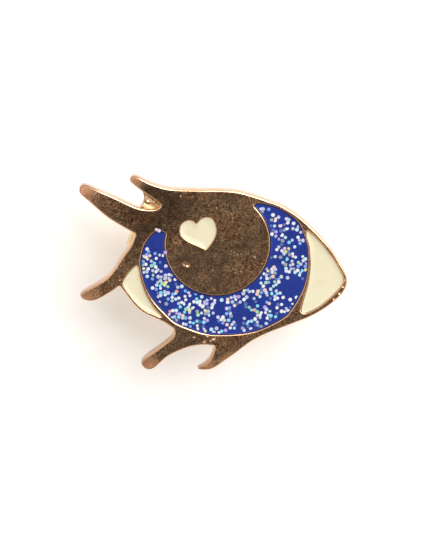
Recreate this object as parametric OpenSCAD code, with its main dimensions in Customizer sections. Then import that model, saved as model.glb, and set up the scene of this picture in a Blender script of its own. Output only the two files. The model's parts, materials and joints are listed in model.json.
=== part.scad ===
// Enamel pin: a die-struck eye with five lashes, held through cloth by two posts and two butterfly clutches.
// It lies on its back, +Z out of its face, +X to the viewer's right and +Y up on the face.
// The origin is on the plate's flat back, behind the centre of the iris.

/* [Plate] */
// Thickness of the struck plate
plate_t = 1.5; // [1.2:0.1:2]
// Depth of the cells that hold the enamel
cell_depth = 0.6; // [0.4:0.05:0.7]
// How far the enamel lies below the metal
enamel_drop = 0.08; // [0.02:0.01:0.15]
// Depth of the sunk web between the two upper lashes
web_depth = 0.7; // [0.3:0.1:0.9]
// Radius of the metal pupil
pupil_r = 5.95; // [5.8:0.05:6]

/* [Posts] */
// X of the left post
post_left_x = -5.3; // [-5.6:0.1:-5.2]
// Y of the left post
post_left_y = -0.9; // [-1.4:0.1:-0.6]
// X of the right post
post_right_x = 6.2; // [6.1:0.1:6.6]
// Y of the right post
post_right_y = -2; // [-2.4:0.1:-1.6]
// Diameter of the post where it passes through the cloth
post_d = 1.1; // [1:0.05:1.2]
// Length of the post behind the plate
post_len = 7.6; // [7.2:0.1:7.8]
// Diameter of the flange at the post's foot
flange_d = 3.8; // [3:0.1:4]
// Thickness of that flange
flange_t = 0.35; // [0.3:0.05:0.4]

/* [Clutches] */
// Diameter of the clutch's disc
clutch_d = 11; // [10.5:0.1:11.2]
// Room for cloth between the plate and the clutch's disc
cloth_gap = 2.35; // [2.3:0.05:2.6]
// Height of the rolled rim
rim_h = 2.1; // [1.9:0.1:2.3]
// Thickness of the brass sheet
sheet_t = 0.35; // [0.3:0.05:0.4]
// How far the wings reach behind the plate
wing_reach = 8; // [7.9:0.1:8.4]
// Turn of the left clutch about its post
left_turn = 78; // [60:1:90]
// Turn of the right clutch about its post
right_turn = -52; // [-60:1:-40]

/* [Hidden] */
$fn = 96;

pupil_at = [-0.8, 1.1];
cell_floor = plate_t - cell_depth;
enamel_h = cell_depth - enamel_drop;
overcut = 1;

// A smooth curve through the points, with its ends on the first and the last one.
function ends_padded(p) = concat([2 * p[0] - p[1]], p, [2 * p[len(p) - 1] - p[len(p) - 2]]);
function spline_at(a, b, c, d, t) =
    0.5 * (2 * b + (c - a) * t + (2 * a - 5 * b + 4 * c - d) * t * t + (3 * b - a - 3 * c + d) * t * t * t);
function curve(p, steps = 3) =
    let (q = ends_padded(p))
    concat([for (i = [1:len(q) - 3], k = [0:steps - 1])
        spline_at(q[i - 1], q[i], q[i + 1], q[i + 2], k / steps)], [p[len(p) - 1]]);
// Points along an arc round c, from angle a0 to angle a1.
function arc(c, r, a0, a1, n = 6) = [for (i = [0:n]) c + r * [cos(a0 + (a1 - a0) * i / n), sin(a0 + (a1 - a0) * i / n)]];

// The plate's outline, clockwise on the face. Each curve runs from one sharp corner to the next.
upper_lid = [
    [-9.1, 6.95], [-10.45, 8.15], [-10.38, 8.66], [-9.8, 8.8], [-8, 7.95], [-6, 7.42], [-3, 7.28], [0, 7.22],
    [2, 6.95], [5, 5.97], [7, 5.1], [9, 3.62], [11, 1.6], [12.5, -0.5], [13.4, -2], [13.75, -3.2], [13.35, -4.45],
    [12, -5.8], [10, -7.1], [8, -7.95], [5, -9.12], [3, -10.18], [1, -11.72], [-1, -13.12], [-2.1, -13.42], [-2.95, -13.2]
];
lash_e_inside = [[-2.95, -13.2], [-2.1, -12.65], [-1.45, -11.85], [-1.1, -10.8], [-1.15, -10.52]];
lash_d = [
    [-1.15, -10.52], [-2.5, -10.45], [-4, -10.75], [-6, -11.62], [-7, -12.42], [-7.9, -13.2], [-8.65, -13.3],
    [-9.2, -12.75], [-8.95, -12], [-7.1, -10.6], [-5.8, -9.5], [-5.6, -9], [-5.68, -8.5]
];
lower_rim = [[-5.68, -8.5], [-7, -7.65], [-9, -6.65], [-10.1, -5.65], [-11, -4.45], [-11.65, -3.6]];
lash_c = [
    [-11.65, -3.6], [-12.4, -4.2], [-14, -5.15], [-15, -5.38], [-15.82, -5.12], [-16, -4.62], [-15.25, -4.02],
    [-13.4, -2.9], [-12.4, -1.9], [-11.8, -0.95], [-10.95, 0.3], [-10.42, 1.1], [-9.95, 2.3]
];
lash_a = [
    [-9.95, 2.3], [-11, 2.9], [-13, 4.15], [-15, 5.9], [-15.95, 6.74], [-16.08, 7.4], [-15.55, 7.87],
    [-14, 7.25], [-12, 6.37], [-10.4, 5.7], [-9.4, 5.4]
];
web_end = [[-9.4, 5.4], [-9.05, 5.7], [-8.95, 6.4], [-9.1, 6.95]];
plate_outline = concat(curve(upper_lid), curve(lash_e_inside), curve(lash_d), curve(lower_rim), curve(lash_c),
    curve(lash_a), curve(web_end));
// The sunk web fills the narrow end of the slot between the upper lashes.
web_outline = concat(curve([[-10.1, 5.45], [-9.4, 5.22], [-8.5, 5.1], [-7.6, 5.15], [-7.1, 5.5]]),
    curve([[-7.15, 5.65], [-8, 6.25], [-8.7, 6.7], [-9.6, 7.6]]));

// The cells, each by its curves from corner to corner.
iris_outline = concat(
    curve([[-7.2, 2.5], [-7.7, 2.4], [-8.15, 2.05], [-8.75, 1.15], [-9.05, 0.3], [-9.3, -1.2], [-8.9, -3.2],
        [-8, -5.1], [-6.4, -6.9], [-5.4, -7.8], [-4, -8.45], [-2, -9.1], [0, -9.22], [2, -9.1], [4, -8.65],
        [6, -7.7], [7.1, -6.95]]),
    curve([[7.1, -6.95], [8.1, -5.4], [8.95, -3.5], [9.3, -1.4], [9.25, 0.5], [8.85, 2], [8.35, 3.2]]),
    curve([[8.35, 3.2], [7.5, 4.1], [6, 5.05], [4.6, 5.5], [3.2, 5.7]]));
white_left_outline = concat(
    curve([[-9.8, -1.3], [-10.5, -2], [-11, -2.7], [-11.28, -3.25], [-11.2, -3.6]]),
    curve([[-11.2, -3.6], [-10.7, -4.3], [-10, -5.2], [-9.3, -5.95], [-8.5, -6.5], [-7.8, -6.8], [-6.95, -7.2]]),
    curve([[-6.95, -7.2], [-7.75, -6.25], [-8.45, -5.2], [-9, -4], [-9.4, -2.7], [-9.6, -1.5]]));
white_right_outline = concat(
    curve([[9.2, 2.6], [10, 1.9], [11, 0.8], [12, -0.5], [12.7, -1.6], [13.15, -2.5], [13.25, -3.2], [13, -3.7]]),
    curve([[12.7, -4.1], [11.5, -5.3], [10.4, -6.15], [9.3, -6.7], [8.85, -6.78]]),
    curve([[8.62, -6.5], [9, -5], [9.4, -3.5], [9.62, -1.5], [9.55, 0], [9.4, 1.1], [9.1, 2.1]]));
heart_outline = concat(
    curve([[-3.15, 3.45], [-3.55, 3.8], [-4.2, 3.85], [-4.85, 3.4], [-5.05, 2.6], [-4.75, 1.95], [-4, 1.35],
        [-2.9, 0.85], [-2, 0.42]]),
    curve([[-2, 0.42], [-1.35, 1.3], [-0.95, 2.2], [-0.95, 3.1], [-1.3, 3.95], [-1.95, 4.22], [-2.65, 4],
        [-3.15, 3.45]]));

module cell(outline, floor, height) {
    translate([0, 0, floor])
        linear_extrude(height) polygon(outline);
}

module iris_cell(floor, height) {
    difference() {
        cell(iris_outline, floor, height);
        translate([pupil_at[0], pupil_at[1], floor - overcut])
            cylinder(r = pupil_r, h = height + 2 * overcut);
    }
}

module base_plate() {
    color([0.72, 0.55, 0.38])
        difference() {
            linear_extrude(plate_t) polygon(plate_outline);
            cell(web_outline, plate_t - web_depth, web_depth + overcut);
            iris_cell(cell_floor, cell_depth + overcut);
            cell(white_left_outline, cell_floor, cell_depth + overcut);
            cell(white_right_outline, cell_floor, cell_depth + overcut);
            cell(heart_outline, cell_floor, cell_depth + overcut);
            for (at = [[post_left_x, post_left_y], [post_right_x, post_right_y]])
                translate([at[0], at[1], -overcut])
                    cylinder(d = flange_d, h = flange_t + foot_sink + overcut);
        }
}

module enamel_iris() {
    color([0.16, 0.22, 0.62]) iris_cell(cell_floor, enamel_h);
}

module enamel_white_left() {
    color([0.96, 0.93, 0.82]) cell(white_left_outline, cell_floor, enamel_h);
}

module enamel_white_right() {
    color([0.96, 0.93, 0.82]) cell(white_right_outline, cell_floor, enamel_h);
}

module enamel_heart() {
    color([0.96, 0.93, 0.82]) cell(heart_outline, cell_floor, enamel_h);
}

// The post. Its shank is a true cylinder through the cloth, then narrows a little to the grip groove and the point.
foot_sink = 0.05;
shank_end = 2;
grip_d = post_d - 0.1;
groove_d = post_d - 0.3;
jaw_z = cloth_gap + 0.87;
groove_half = 0.35;
point_len = 1.6;
tip_d = 0.12;

module post_at(x, y) {
    color([0.78, 0.62, 0.36])
        translate([x, y, 0])
            rotate_extrude()
                polygon([
                    [0, foot_sink + flange_t], [flange_d / 2, foot_sink + flange_t], [flange_d / 2, foot_sink],
                    [post_d / 2, foot_sink], [post_d / 2, -shank_end], [grip_d / 2, -shank_end - 0.6],
                    [groove_d / 2, groove_half - jaw_z], [groove_d / 2, -groove_half - jaw_z],
                    [grip_d / 2, -groove_half - jaw_z - 0.1], [grip_d / 2, point_len - post_len],
                    [tip_d / 2, -post_len], [0, -post_len]
                ]);
}

// The clutch, with its pieces drawn round its post's axis.
cap_r = clutch_d / 2;
hole_r = post_d / 2 + 0.2;
corner_r = 0.7;
lip_w = 0.75;
lip_top = sheet_t - cloth_gap - rim_h;
retainer_t = 0.3;
retainer_top = lip_top + retainer_t;
retainer_r = cap_r - sheet_t - 0.1;
slot_x = 4.8;
slot_y = 4.3;
bump_at_r = 3.4;
bump_r = 0.7;
bump_h = 0.2;

module clutch_frame(x, y, turn) {
    translate([x, y, 0]) rotate([0, 0, turn]) children();
}

module clutch_cap() {
    color([0.85, 0.68, 0.4]) {
        rotate_extrude()
            polygon(concat(
                [[hole_r, -cloth_gap]],
                arc([cap_r - corner_r, -cloth_gap - corner_r], corner_r, 90, 0),
                arc([cap_r - 0.3, lip_top - sheet_t + 0.3], 0.3, 0, -90),
                [[cap_r - sheet_t - lip_w, lip_top - sheet_t], [cap_r - sheet_t - lip_w, lip_top],
                    [cap_r - sheet_t, lip_top]],
                arc([cap_r - corner_r, -cloth_gap - corner_r], corner_r - sheet_t, 0, 90),
                [[hole_r, -cloth_gap - sheet_t]]));
        for (turn = [30:120:270])
            rotate([0, 0, turn])
                translate([bump_at_r, 0, -cloth_gap + bump_h - bump_r])
                    intersection() {
                        sphere(r = bump_r);
                        cylinder(r = bump_r, h = bump_r);
                    }
    }
}

module clutch_retainer() {
    color([0.8, 0.62, 0.35])
        difference() {
            translate([0, 0, lip_top])
                cylinder(r = retainer_r, h = retainer_t);
            translate([-slot_x / 2, -slot_y / 2, lip_top - overcut])
                cube([slot_x, slot_y, retainer_t + 2 * overcut]);
        }
}

// One wing: a flat jaw round the post, a leg through the slot and a flared finger wing.
wing_t = 0.4;
jaw_w = 3.2;
ear_w = 5.4;
ear_round = 1.3;
jaw_gap = 0.15;
notch_r = grip_d / 2 + 0.06;
leg_x = 1.85;
wing_bend_z = -4.9;
wing_tip = [4.9, -wing_reach + wing_t / 2];
wing_path = concat(
    [[jaw_gap, -jaw_z], [leg_x - 0.35, -jaw_z]],
    arc([leg_x - 0.35, -jaw_z - 0.35], 0.35, 75, 0, 4),
    curve([[leg_x, wing_bend_z], [leg_x + 0.35, -5.9], [leg_x + 1.25, -6.75], [leg_x + 2.2, -7.35], wing_tip], 4)
);

// The outline of a strip of even thickness along a path.
function unit(v) = v / norm(v);
function heading(p, i) = unit(p[min(i + 1, len(p) - 1)] - p[max(i - 1, 0)]);
function beside(p, i, d) = p[i] + d * [-heading(p, i)[1], heading(p, i)[0]];
function strip(p, t) = concat([for (i = [0:len(p) - 1]) beside(p, i, t / 2)],
    [for (i = [len(p) - 1:-1:0]) beside(p, i, -t / 2)]);

// The wing as seen from behind: narrow at the jaw and wide at the rounded ear.
wing_plan = concat(
    [[0, -jaw_w / 2], [leg_x + 0.3, -jaw_w / 2]],
    arc([wing_tip[0] - ear_round, -ear_w / 2 + ear_round], ear_round + 0.02, -90, 0),
    arc([wing_tip[0] - ear_round, ear_w / 2 - ear_round], ear_round + 0.02, 0, 90),
    [[leg_x + 0.3, jaw_w / 2], [0, jaw_w / 2]]
);

module clutch_wing() {
    color([0.85, 0.68, 0.4])
        difference() {
            intersection() {
                rotate([90, 0, 0])
                    translate([0, 0, -ear_w / 2])
                        linear_extrude(ear_w) polygon(strip(wing_path, wing_t));
                translate([0, 0, -wing_reach - overcut])
                    linear_extrude(wing_reach) polygon(wing_plan);
            }
            translate([0, 0, -jaw_z - overcut])
                cylinder(r = notch_r, h = 2 * overcut);
        }
}

module on_left_post() {
    clutch_frame(post_left_x, post_left_y, left_turn) children();
}

module on_right_post() {
    clutch_frame(post_right_x, post_right_y, right_turn) children();
}

base_plate();
enamel_iris();
enamel_white_left();
enamel_white_right();
enamel_heart();
post_at(post_left_x, post_left_y);  // post_left
post_at(post_right_x, post_right_y);  // post_right
on_left_post() clutch_cap();  // clutch_left_cap
on_left_post() clutch_retainer();  // clutch_left_retainer
on_left_post() clutch_wing();  // clutch_left_wing_a
on_left_post() rotate([0, 0, 180]) clutch_wing();  // clutch_left_wing_b
on_right_post() clutch_cap();  // clutch_right_cap
on_right_post() clutch_retainer();  // clutch_right_retainer
on_right_post() clutch_wing();  // clutch_right_wing_a
on_right_post() rotate([0, 0, 180]) clutch_wing();  // clutch_right_wing_b
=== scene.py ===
"""Enamel pin: an eye with lashes. The CAD frame gives the places. This script gives the struck metal,
the enamel, the glitter and the brass of the clutches their real surfaces."""

import json
import math
import random

import bpy
import numpy as np
from mathutils import Matrix, Vector, geometry


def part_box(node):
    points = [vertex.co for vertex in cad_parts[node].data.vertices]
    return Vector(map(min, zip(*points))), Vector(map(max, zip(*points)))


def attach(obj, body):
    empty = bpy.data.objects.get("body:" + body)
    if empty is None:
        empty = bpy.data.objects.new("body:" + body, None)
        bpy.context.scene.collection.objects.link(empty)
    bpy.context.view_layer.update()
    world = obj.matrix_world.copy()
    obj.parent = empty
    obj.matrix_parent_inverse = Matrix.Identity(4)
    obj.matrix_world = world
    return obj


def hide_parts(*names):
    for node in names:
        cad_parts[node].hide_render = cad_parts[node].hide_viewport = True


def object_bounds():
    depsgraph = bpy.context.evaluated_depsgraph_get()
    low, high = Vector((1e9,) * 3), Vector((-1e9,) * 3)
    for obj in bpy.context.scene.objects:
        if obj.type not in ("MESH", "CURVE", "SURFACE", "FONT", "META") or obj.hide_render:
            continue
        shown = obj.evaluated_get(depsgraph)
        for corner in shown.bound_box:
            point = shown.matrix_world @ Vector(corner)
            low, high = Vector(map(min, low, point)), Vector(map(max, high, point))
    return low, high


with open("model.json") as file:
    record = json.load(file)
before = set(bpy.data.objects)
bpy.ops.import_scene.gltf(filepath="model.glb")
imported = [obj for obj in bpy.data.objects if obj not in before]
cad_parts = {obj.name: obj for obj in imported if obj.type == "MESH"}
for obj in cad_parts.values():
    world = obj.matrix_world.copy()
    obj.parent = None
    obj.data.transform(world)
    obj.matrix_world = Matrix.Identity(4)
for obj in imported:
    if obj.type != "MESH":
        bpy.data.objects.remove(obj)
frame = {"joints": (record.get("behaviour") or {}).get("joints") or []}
cad_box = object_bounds()

MM = 0.001
UP = np.array([0.0, 0.0, 1.0])

# Heights and sizes in millimetres, in the frame of the CAD model.
PLATE_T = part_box("base_plate")[1].z / MM
CELL_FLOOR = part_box("enamel_iris")[0].z / MM
ENAMEL_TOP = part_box("enamel_iris")[1].z / MM
FLOOR_Z = cad_box[0].z / MM
# The face lies a little below the CAD face, so that the stray flakes on it stay inside the CAD box.
FACE_TOP = PLATE_T - 0.04
WEB_TOP = 0.8
PUPIL_AT = (-0.8, 1.1)
PUPIL_R = 5.95
EDGE_R = 0.26
# The cells' edge radii: the iris, the left white, the right white and the heart.
CELL_EDGE_R = (0.25, 0.2, 0.24, 0.12)
BACK_EDGE_R = 0.12
WEB_EDGE_R = 0.1
POCKET_EDGE_R = 0.06
# How far the metal rolls over the heart's edge, so that less of its enamel shows.
HEART_ROLL = 0.09
# Spacing of the points along an outline.
POINT_GAP = 0.12
# The way from the pin to the camera.
VIEW_WAY = (-0.05, 0.23, 1)


# ---------------------------------------------------------------- outlines

def curve(points, gap=POINT_GAP):
    """A smooth curve through the points, in steps of about gap, without its last point."""
    p = np.array(points, float)
    q = np.vstack([2 * p[0] - p[1], p, 2 * p[-1] - p[-2]])
    out = []
    for a, b, c, d in zip(q, q[1:], q[2:], q[3:]):
        steps = max(2, math.ceil(np.linalg.norm(c - b) / gap))
        for t in np.arange(steps) / steps:
            out.append(0.5 * (2 * b + (c - a) * t + (2 * a - 5 * b + 4 * c - d) * t * t
                              + (3 * b - a - 3 * c + d) * t ** 3))
    return np.array(out)


def loop(*curves, soften=2):
    """A closed outline, anticlockwise, with its corners a little rounded."""
    p = np.vstack([curve(c) for c in curves])
    return softened(anticlockwise(p), soften)


def anticlockwise(p):
    q = np.roll(p, -1, 0)
    area = (p[:, 0] * q[:, 1] - q[:, 0] * p[:, 1]).sum()
    return p if area > 0 else p[::-1]


def softened(p, times):
    for _ in range(times):
        p = 0.25 * np.roll(p, 1, 0) + 0.5 * p + 0.25 * np.roll(p, -1, 0)
    return p


def ring(at, radius, gap=POINT_GAP):
    n = max(24, math.ceil(2 * math.pi * radius / gap))
    a = np.arange(n) / n * 2 * math.pi
    return np.c_[at[0] + radius * np.cos(a), at[1] + radius * np.sin(a)]


# The plate's outline, clockwise in parts: over the eyelid, round the right corner and down to the lowest
# lash, then from lash to lash up the left side. The cells' outlines follow.
UPPER_LID = [
    (-9.2, 7.1), (-10.45, 8.15), (-10.38, 8.66), (-9.8, 8.8), (-8, 7.95), (-6, 7.42), (-3, 7.28),
    (0, 7.22), (2, 6.95), (5, 5.97), (7, 5.1), (9, 3.62), (11, 1.6), (12.5, -0.5), (13.4, -2),
    (13.75, -3.2), (13.35, -4.45), (12, -5.8), (10, -7.1), (8, -7.95), (5, -9.12), (3, -10.18),
    (1, -11.72), (-1, -13.12), (-2.1, -13.42), (-2.95, -13.2),
]
LASH_E_INSIDE = [(-2.95, -13.2), (-2.1, -12.65), (-1.45, -11.85), (-1.1, -10.8), (-1.15, -10.52)]
LASH_D = [
    (-1.15, -10.52), (-2.5, -10.45), (-4, -10.75), (-6, -11.62), (-7, -12.42), (-7.9, -13.2),
    (-8.65, -13.3), (-9.2, -12.75), (-8.95, -12), (-7.1, -10.6), (-5.8, -9.5), (-5.6, -9), (-5.68, -8.5),
]
LOWER_RIM = [(-5.68, -8.5), (-7, -7.65), (-9, -6.65), (-10.1, -5.65), (-11, -4.45), (-11.65, -3.6)]
LASH_C = [
    (-11.65, -3.6), (-12.4, -4.2), (-14, -5.15), (-15, -5.38), (-15.82, -5.12), (-16, -4.62),
    (-15.25, -4.02), (-13.4, -2.9), (-12.4, -1.9), (-11.8, -0.95), (-10.95, 0.3), (-10.42, 1.1),
    (-9.95, 2.3),
]
LASH_A = [
    (-9.95, 2.3), (-11, 2.9), (-13, 4.15), (-15, 5.9), (-15.95, 6.74), (-16.08, 7.4), (-15.55, 7.87),
    (-14, 7.25), (-12, 6.37), (-10.4, 5.6), (-9.4, 5.22), (-8.5, 5.1), (-7.6, 5.15), (-7.1, 5.5),
]
WEB_UPPER = [(-7.1, 5.5), (-8, 6.25), (-8.7, 6.75), (-9.2, 7.1)]
FACE_OUTLINE = loop(UPPER_LID, LASH_E_INSIDE, LASH_D, LOWER_RIM, LASH_C, LASH_A, WEB_UPPER)
WEB_OUTLINE = loop(
    [(-9.4, 5.3), (-9.05, 5.7), (-8.95, 6.4), (-9.1, 6.95)],
    [(-9.1, 6.95), (-8.3, 6.9), (-7, 6.1), (-6.6, 5.4), (-7.5, 4.6), (-9.4, 5.3)])

IRIS_OUTER = [
    [(-7.2, 2.5), (-7.7, 2.4), (-8.15, 2.05), (-8.75, 1.15), (-9.05, 0.3), (-9.3, -1.2), (-8.9, -3.2),
     (-8, -5.1), (-6.4, -6.9), (-5.4, -7.8), (-4, -8.45), (-2, -9.1), (0, -9.22), (2, -9.1), (4, -8.65),
     (6, -7.7), (7.1, -6.95)],
    [(7.1, -6.95), (8.1, -5.4), (8.95, -3.5), (9.3, -1.4), (9.25, 0.5), (8.85, 2), (8.35, 3.2)],
    [(8.35, 3.2), (7.5, 4.1), (6, 5.05), (4.6, 5.5), (3.4, 5.65)],
]


def pupil_arc(start, end):
    """Points along the pupil's edge, clockwise from start to end."""
    a = math.atan2(start[1] - PUPIL_AT[1], start[0] - PUPIL_AT[0])
    b = math.atan2(end[1] - PUPIL_AT[1], end[0] - PUPIL_AT[0])
    b -= 2 * math.pi * (b > a)
    turns = np.linspace(a, b, 40)
    return [(PUPIL_AT[0] + PUPIL_R * math.cos(t), PUPIL_AT[1] + PUPIL_R * math.sin(t)) for t in turns]


IRIS_CELL = loop(*IRIS_OUTER, pupil_arc((3.4, 5.65), (-6.75, 2.35)) + [(-7.2, 2.5)])
WHITE_LEFT_CELL = loop(
    [(-9.8, -1.3), (-10.5, -2), (-11, -2.7), (-11.28, -3.25), (-11.2, -3.6)],
    [(-11.2, -3.6), (-10.7, -4.3), (-10, -5.2), (-9.3, -5.95), (-8.5, -6.5), (-7.8, -6.8), (-6.95, -7.2)],
    [(-6.95, -7.2), (-7.75, -6.25), (-8.45, -5.2), (-9, -4), (-9.4, -2.7), (-9.6, -1.5), (-9.8, -1.3)])
WHITE_RIGHT_CELL = loop(
    [(9.2, 2.6), (10, 1.9), (11, 0.8), (12, -0.5), (12.7, -1.6), (13.15, -2.5), (13.25, -3.2), (13, -3.7),
     (12.7, -4.1), (11.5, -5.3), (10.4, -6.15), (9.3, -6.7), (8.85, -6.78)],
    [(8.85, -6.78), (8.62, -6.5)],
    [(8.62, -6.5), (9, -5), (9.4, -3.5), (9.62, -1.5), (9.55, 0), (9.4, 1.1), (9.1, 2.1), (9.2, 2.6)])
HEART_OUTLINE = loop(
    [(-3.15, 3.45), (-3.55, 3.8), (-4.2, 3.85), (-4.85, 3.4), (-5.05, 2.6), (-4.75, 1.95), (-4, 1.35),
     (-2.9, 0.85), (-2, 0.42)],
    [(-2, 0.42), (-1.35, 1.3), (-0.95, 2.2), (-0.95, 3.1), (-1.3, 3.95), (-1.95, 4.22), (-2.65, 4),
     (-3.15, 3.45)])


# ---------------------------------------------------------------- mesh building

def inward(p):
    """Unit normals of a closed outline, pointing to its left."""
    t = np.roll(p, -1, 0) - np.roll(p, 1, 0)
    t /= np.linalg.norm(t, axis=1)[:, None]
    return np.c_[-t[:, 1], t[:, 0]]


HEART_CELL = HEART_OUTLINE + HEART_ROLL * inward(HEART_OUTLINE)
CELLS = [IRIS_CELL, WHITE_LEFT_CELL, WHITE_RIGHT_CELL, HEART_CELL]


def nearest(q, points):
    """Distance from each of q to the nearest of points."""
    out = np.empty(len(q))
    for i in range(0, len(q), 400):
        d = q[i:i + 400, None] - points[None]
        out[i:i + 400] = np.sqrt((d ** 2).sum(2).min(1))
    return out


def inside(q, outline):
    """Which of q lie in the outline."""
    x, y = q[:, 0][:, None], q[:, 1][:, None]
    a, b = outline, np.roll(outline, -1, 0)
    spans = (a[:, 1] > y) != (b[:, 1] > y)
    rise = np.where(b[:, 1] == a[:, 1], 1e-12, b[:, 1] - a[:, 1])
    crosses = x < (b[:, 0] - a[:, 0]) * (y - a[:, 1]) / rise + a[:, 0]
    return (spans & crosses).sum(1) % 2 == 1


def room_for_radius(p, normals, others, radius):
    """The edge radius at each point, smaller where the metal is narrow or turns sharply.

    A point d in from the edge is about d from the nearest outline, unless there is too little room."""
    nearly, kept_share = 0.94, 0.8
    room = np.full(len(p), radius)
    for d in np.linspace(1, 0.1, 10) * radius:
        tight = nearest(p + d * normals, others) < nearly * d
        room[tight] = np.minimum(room[tight], kept_share * d)
    lowest = np.minimum.reduce([np.roll(room, k) for k in range(-2, 3)])
    return sum(np.roll(lowest, k) for k in range(-3, 4)) / 7


class Surface:
    """A mesh in the making: points with their normals, in millimetres, and faces."""

    def __init__(self):
        self.co, self.no, self.faces = [], [], []

    def add(self, xyz, normals):
        start = len(self.co)
        self.co.extend(np.asarray(xyz, float).tolist())
        self.no.extend(np.asarray(normals, float).tolist())
        return np.arange(start, len(self.co))

    def add_wall(self, p, z, behind):
        """A ring at height z that faces away from behind, its normals in the plane."""
        return self.add(np.c_[p, np.full(len(p), z)], -np.c_[behind, np.zeros(len(p))])

    def bridge(self, a, b):
        """Quads between two closed rings of as many points."""
        self.faces += np.c_[a, np.roll(a, -1), np.roll(b, -1), b].tolist()

    def fill(self, rings, height, gap, extra=()):
        """Triangles over the first ring, less the others, with inner points gap apart, and the extra points.

        rings are vertex numbers, and height gives points and normals."""
        outlines = [np.array([self.co[i][:2] for i in r]) for r in rings]
        lo, hi = outlines[0].min(0), outlines[0].max(0)
        xs = np.arange(lo[0], hi[0], gap)
        ys = np.arange(lo[1], hi[1], gap * 0.866)
        grid = [(x + gap / 2 * (j % 2), y) for j, y in enumerate(ys) for x in xs]
        grid = np.array(grid + list(extra)).reshape(-1, 2)
        edge_points = np.vstack(outlines)
        clear_of_edge = min(gap, POINT_GAP) * 0.6
        ok = inside(grid, outlines[0]) & (nearest(grid, edge_points) > clear_of_edge)
        for o in outlines[1:]:
            ok &= ~inside(grid, o)
        grid = grid[ok]
        ids = np.concatenate(list(rings) + [self.add(*height(grid))])
        points = np.vstack([edge_points, grid])
        edges, at = [], 0
        for r in rings:
            n = len(r)
            edges += [(at + i, at + (i + 1) % n) for i in range(n)]
            at += n
        corners = [Vector(p) for p in points]
        co, _, tris, origin, _, _ = geometry.delaunay_2d_cdt(corners, edges, [], 0, 1e-7)
        new = [i for i, o in enumerate(origin) if not o]
        made = self.add(*height(np.array([co[i] for i in new]))) if new else []
        number = dict(zip(new, made))
        number.update({i: ids[o[0]] for i, o in enumerate(origin) if o})
        flat = np.array([tuple(c) for c in co])
        middles = flat[np.array(tris)].mean(1)
        keep = inside(middles, outlines[0])
        for o in outlines[1:]:
            keep &= ~inside(middles, o)
        self.faces += [[number[v] for v in t] for t, k in zip(tris, keep) if k]

    def make(self, name, material, body, replaces=(), own_normals=True):
        """An object of the faces, each turned to the side that its normals point to."""
        mesh = bpy.data.meshes.new(name)
        faces = [[int(v) for v in f] for f in self.faces]
        co, no = np.array(self.co), np.array(self.no)
        for i, f in enumerate(faces):
            a, b, c = co[f[0]], co[f[1]], co[f[-1]]
            if np.cross(b - a, c - a) @ no[f].sum(0) < 0:
                faces[i] = f[::-1]
        mesh.from_pydata((co * MM).tolist(), [], faces)
        mesh.shade_smooth()
        if own_normals:
            unit = no / np.linalg.norm(no, axis=1)[:, None]
            mesh.normals_split_custom_set_from_vertices(unit.tolist())
        return place(mesh, name, material, body, replaces)


def place(mesh, name, material, body, replaces=()):
    """An object of the mesh that rides on a body and stands for CAD nodes."""
    mesh.materials.append(material)
    obj = bpy.data.objects.new(name, mesh)
    bpy.context.scene.collection.objects.link(obj)
    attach(obj, body)
    if replaces:
        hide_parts(*replaces)
    return obj


def flat_at(z, normal=UP):
    """A function that gives a level surface's points and normals."""
    return lambda p: (np.c_[p, np.full(len(p), z)], np.tile(normal, (len(p), 1)))


def rounded_rings(surface, p, normals, radius, top, down=False, steps=5):
    """Rings from the wall, over a rounded edge, onto a flat. Gives the wall's ring and the flat's ring."""
    rings = []
    for turn in np.linspace(0, math.pi / 2, steps + 1):
        q = p + normals * (radius * (1 - math.cos(turn)))[:, None]
        xyz, no = top(q)
        drop = radius * (1 - math.sin(turn))
        xyz[:, 2] += drop if down else -drop
        side = -np.c_[normals, np.zeros(len(p))] * math.cos(turn)
        rings.append(surface.add(xyz, side + no * math.sin(turn)))
        if len(rings) > 1:
            surface.bridge(rings[-2], rings[-1])
    return rings[0], rings[-1]


# ---------------------------------------------------------------- the struck plate

# Where the face sinks at the lash tips: x, y, reach and drop. The places lie just past the outline.
LASH_TIPS = [
    (-16.5, 8.0, 3.8, 0.45), (-10.6, 9.4, 2.6, 0.32), (-16.5, -5.4, 3.2, 0.42), (-9.5, -13.7, 3.0, 0.48),
    (-2.6, -14.1, 2.6, 0.42), (0.9, -13.2, 2.1, 0.3),
]
# The power of the nearness to a tip's place that the drop grows with.
TIP_BEND = 1.4
# How many times further the shading leans over the tips than their height does.
TIP_LEAN = 2.0
# Small dents in the face: x, y, radius and depth.
DENTS = [
    (-5.4, 1.5, 0.45, 0.08), (-5.05, 1.3, 0.3, 0.06), (-5.1, 0.5, 0.7, 0.05), (-4.4, -1.12, 0.3, 0.08),
    (-4.05, -1.28, 0.24, 0.08), (-1.1, -9.7, 0.2, 0.08), (-2.2, -10.05, 0.18, 0.08),
    (-1.8, -9.4, 0.13, 0.05), (-3.3, -9.5, 0.14, 0.05), (-1.5, -9.95, 0.1, 0.04),
    (12.75, -1.75, 0.14, 0.11), (13.05, -2.3, 0.16, 0.11), (13.4, -3.0, 0.16, 0.11),
    (13.3, -3.8, 0.14, 0.11), (12.9, -4.55, 0.16, 0.11), (12.3, -5.2, 0.14, 0.11),
    (-11.6, -2.9, 0.14, 0.05), (-4.9, 6.6, 0.12, 0.03), (3.4, -0.3, 0.12, 0.03),
    (-2.9, 5.2, 0.14, 0.03), (1.9, -2.0, 0.12, 0.03), (-1.2, -4.1, 0.2, 0.04),
]
# The shares of a dent's radius at which rings of mesh points lie round it.
DENT_RINGS = (0.01, 0.5, 1, 1.5)
# The sunk web's raised curl and its lump.
CURL_AT = (-8.44, 6.05)
CURL_R = 0.3
LUMP_AT = (-7.75, 5.8)


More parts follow.
